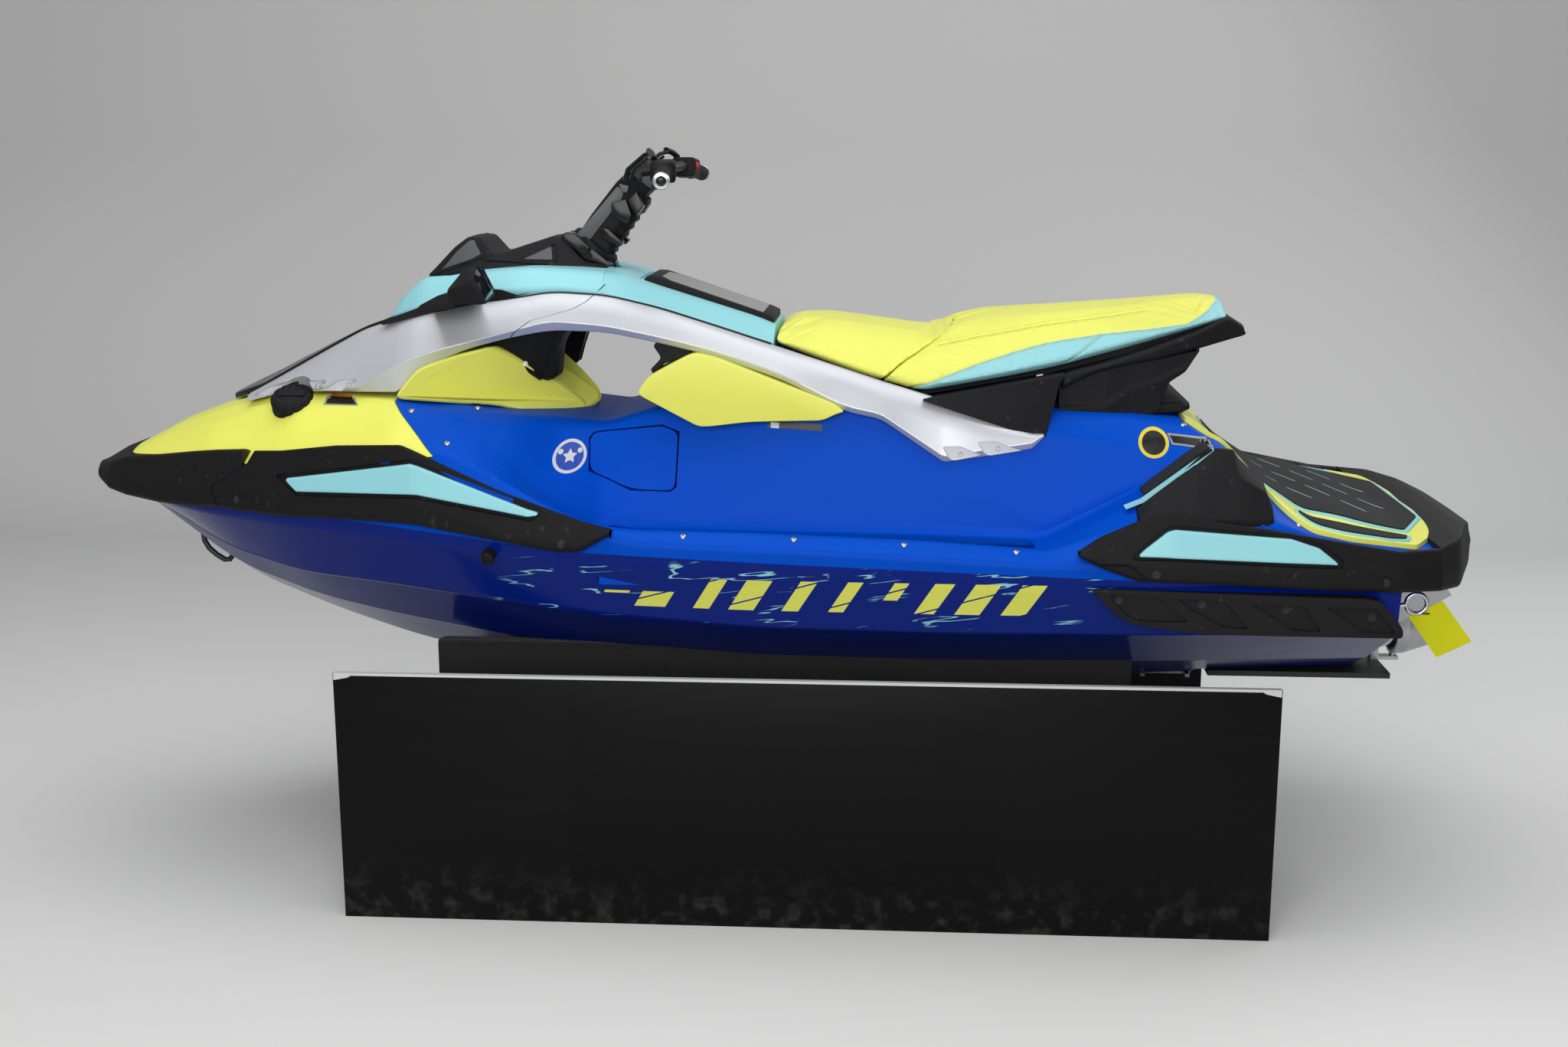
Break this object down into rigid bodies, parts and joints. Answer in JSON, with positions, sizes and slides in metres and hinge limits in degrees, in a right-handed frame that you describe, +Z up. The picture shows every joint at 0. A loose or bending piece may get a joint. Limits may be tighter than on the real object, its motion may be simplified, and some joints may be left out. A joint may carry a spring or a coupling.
{
  "type": "personal watercraft on a display stand",
  "caption": "Sit-down personal watercraft with a lifting seat, turning handlebar, jet pump and reverse bucket, held on a skirted display stand.",
  "frame": {"origin": "on the floor under the middle of the overall length, on the centre plane", "axes": "+X towards the bow, +Y to port, +Z up"},
  "size_m": [3.14, 1.14, 1.6103],
  "materials": {
    "deck_blue": "glossy moulded gelcoat, royal blue",
    "hull_blue": "glossy moulded gelcoat, dark blue",
    "yellow_shell": "satin moulded plastic, pale lemon yellow",
    "cyan_shell": "satin moulded plastic, pale cyan",
    "silver_satin": "satin silver paint",
    "black_plastic": "grained black moulding",
    "grey_plastic": "satin dark grey moulding",
    "black_rubber": "matt black rubber",
    "seat_cyan": "grained marine vinyl, cyan with yellow tops",
    "seat_yellow": "grained marine vinyl, yellow",
    "foam_black": "grooved closed-cell foam",
    "chrome": "polished stainless steel",
    "pump_alloy": "cast and machined, satin",
    "impeller_steel": "brushed stainless steel",
    "black_steel": "satin black paint",
    "engine_grey": "matt grey paint",
    "tag_yellow": "matt yellow plastic sheet",
    "skirt_black": "smooth black board",
    "bunk_carpet": "grey carpet over timber",
    "stand_steel": "satin black paint"
  },
  "bodies": {
    "craft": {"deck_front": "deck_blue", "deck_saddle": "deck_blue", "deck_rear": "deck_blue", "footwell_tubs": "deck_blue", "hull_front": "hull_blue", "hull_middle": "hull_blue", "hull_rear": "hull_blue", "nose_cowl": "yellow_shell", "bow_bumper": "black_rubber", "front_bumpers": "black_rubber", "rear_bumpers": "black_rubber", "stern_bumper": "black_rubber", "front_inserts": "cyan_shell", "rear_inserts": "cyan_shell", "arch_front_panels": "silver_satin", "arch_rear_spars": "silver_satin", "arch_brackets": "black_plastic", "front_shroud": "cyan_shell", "column_cover": "cyan_shell", "dash_cowl": "black_plastic", "front_pods": "yellow_shell", "rear_pods": "yellow_shell", "side_panels": "black_plastic", "seat_tail": "black_plastic", "foot_wedges": "black_plastic", "side_hatches": "deck_blue", "rear_deck_tray": "yellow_shell", "rear_deck_mat": "foam_black", "footwell_mats": "foam_black", "mirrors": "black_plastic", "fuel_cap": "black_plastic", "sponsons": "black_plastic", "tow_eyes": "chrome", "stern_tag": "tag_yellow", "hull_outlet": "black_plastic", "ride_plate": "pump_alloy", "intake_grate": "pump_alloy", "pump_housing": "pump_alloy", "engine_block": "engine_grey", "plinth_skirt": "skirt_black", "plinth_bunks": "bunk_carpet", "plinth_frame": "stand_steel"},
    "steering": {"steering_column": "black_plastic", "handlebar": "black_steel", "grips": "black_rubber", "bar_ends": "chrome", "switch_pods": "black_plastic"},
    "seat": {"seat_base": "black_plastic", "seat_front_cushion": "seat_yellow", "seat_bolster": "seat_yellow"},
    "glovebox": {"glovebox_lid": "black_plastic"},
    "bow_hood": {"hood": "black_plastic"},
    "pump_impeller": {"impeller": "impeller_steel"},
    "nozzle": {"steering_nozzle": "pump_alloy"},
    "bucket": {"reverse_bucket": "pump_alloy"}
  },
  "joints": [
    {"name": "steering_turn", "type": "hinge", "parent": "craft", "child": "steering", "pos_m": [0.394, 0, 1.398], "axis": [-0.6156, 0, 0.7881], "range_deg": [-25, 25]},
    {"name": "seat_lift", "type": "hinge", "parent": "craft", "child": "seat", "pos_m": [-0.042, 0, 1.245], "axis": [0, 1, 0], "range_deg": [0, 65]},
    {"name": "glovebox_lid_lift", "type": "hinge", "parent": "craft", "child": "glovebox", "pos_m": [0.268, 0, 1.348], "axis": [0, 1, 0], "range_deg": [0, 60]},
    {"name": "hood_lift", "type": "hinge", "parent": "craft", "child": "bow_hood", "pos_m": [0.868, 0, 1.24], "axis": [0, -1, 0], "range_deg": [0, 40]},
    {"name": "impeller_spin", "type": "hinge", "parent": "craft", "child": "pump_impeller", "pos_m": [-1.09, 0, 0.562], "axis": [1, 0, 0], "continuous": true},
    {"name": "nozzle_turn", "type": "hinge", "parent": "craft", "child": "nozzle", "pos_m": [-1.424, 0, 0.562], "axis": [0, 0, 1], "range_deg": [-22.5, 22.5]},
    {"name": "bucket_drop", "type": "hinge", "parent": "craft", "child": "bucket", "pos_m": [-1.366, 0, 0.562], "axis": [0, -1, 0], "range_deg": [0, 75]}
  ],
  "couplings": [
    {"joint": "nozzle_turn", "follows": "steering_turn", "ratio": -0.9}
  ]
}
